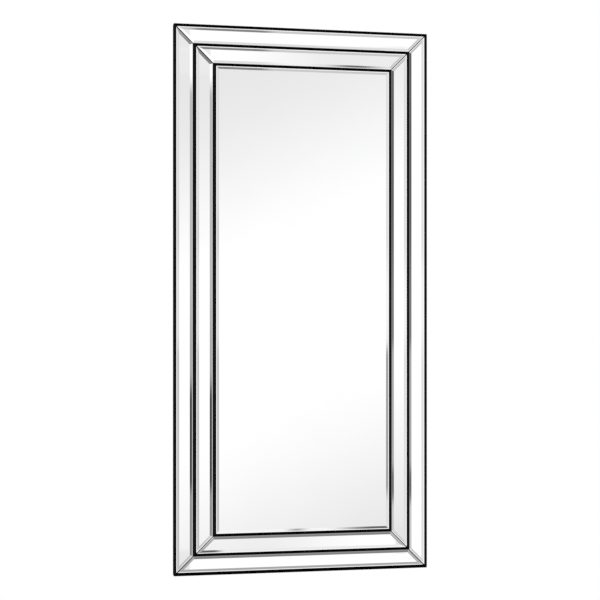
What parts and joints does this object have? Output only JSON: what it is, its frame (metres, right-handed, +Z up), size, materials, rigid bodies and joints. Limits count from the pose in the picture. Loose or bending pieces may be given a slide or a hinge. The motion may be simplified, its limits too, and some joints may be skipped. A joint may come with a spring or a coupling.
{
  "type": "wall mirror",
  "caption": "Tall rectangular wall mirror with stepped rows of bevelled mirror strips round a bevelled centre mirror, thin black lips, and swinging hanger rings on the back.",
  "frame": {"origin": "middle of the mirror's outline, on the wall: the plane of the rubber bumpers' faces", "axes": "+Z up along the mirror's height, +X to the right as seen from the front, +Y into the wall; the mirror faces -Y"},
  "size_m": [0.579, 0.0332, 1.219],
  "materials": {
    "black_lacquer": "satin black lacquer on wood fibre board",
    "strip_mirror": "bevelled and polished silvered glass",
    "centre_mirror": "bevelled and polished silvered glass",
    "safety_film": "satin plastic film",
    "fibre_board": "raw wood fibre board",
    "hardboard": "brown hardboard, smooth side out",
    "softwood": "planed softwood",
    "foam_tape": "white closed-cell foam",
    "nail_steel": "bright steel",
    "screw_steel": "zinc-plated steel",
    "black_screw": "black phosphated steel",
    "hanger_steel": "nickel-plated sheet steel",
    "ring_steel": "nickel-plated steel wire",
    "bumper_rubber": "soft matt rubber"
  },
  "bodies": {
    "root": {"outer_rail_bottom": "black_lacquer", "outer_stile_right": "black_lacquer", "outer_rail_top": "black_lacquer", "outer_stile_left": "black_lacquer", "middle_rail_bottom": "black_lacquer", "middle_stile_right": "black_lacquer", "middle_rail_top": "black_lacquer", "middle_stile_left": "black_lacquer", "inner_bead_bottom": "black_lacquer", "inner_bead_right": "black_lacquer", "inner_bead_top": "black_lacquer", "inner_bead_left": "black_lacquer", "outer_mirror_bottom": "strip_mirror", "outer_mirror_right": "strip_mirror", "outer_mirror_top": "strip_mirror", "outer_mirror_left": "strip_mirror", "middle_mirror_bottom": "strip_mirror", "middle_mirror_right": "strip_mirror", "middle_mirror_top": "strip_mirror", "middle_mirror_left": "strip_mirror", "centre_mirror": "centre_mirror", "safety_film": "safety_film", "centre_board": "fibre_board", "back_panel": "hardboard", "cross_batten_upper": "softwood", "cross_batten_lower": "softwood", "outer_foam_tape": "foam_tape", "middle_foam_tape": "foam_tape", "centre_foam_tape": "foam_tape", "outer_v_nails": "nail_steel", "middle_v_nails": "nail_steel", "frame_screws": "screw_steel", "back_panel_screws": "black_screw", "batten_screws": "black_screw", "hanger_screws": "screw_steel", "hanger_strap_left": "hanger_steel", "hanger_strap_right": "hanger_steel", "bumper_top_left": "bumper_rubber", "bumper_top_right": "bumper_rubber", "bumper_bottom_left": "bumper_rubber", "bumper_bottom_right": "bumper_rubber"},
    "ring_left": {"hanger_ring_left": "ring_steel"},
    "ring_right": {"hanger_ring_right": "ring_steel"}
  },
  "joints": [
    {"name": "ring_left_swing", "type": "hinge", "parent": "root", "child": "ring_left", "pos_m": [-0.2315, -0.00345, 0.3095], "axis": [1, 0, 0], "range_deg": [0, 180]},
    {"name": "ring_right_swing", "type": "hinge", "parent": "root", "child": "ring_right", "pos_m": [0.2315, -0.00345, 0.3095], "axis": [1, 0, 0], "range_deg": [0, 180]}
  ]
}
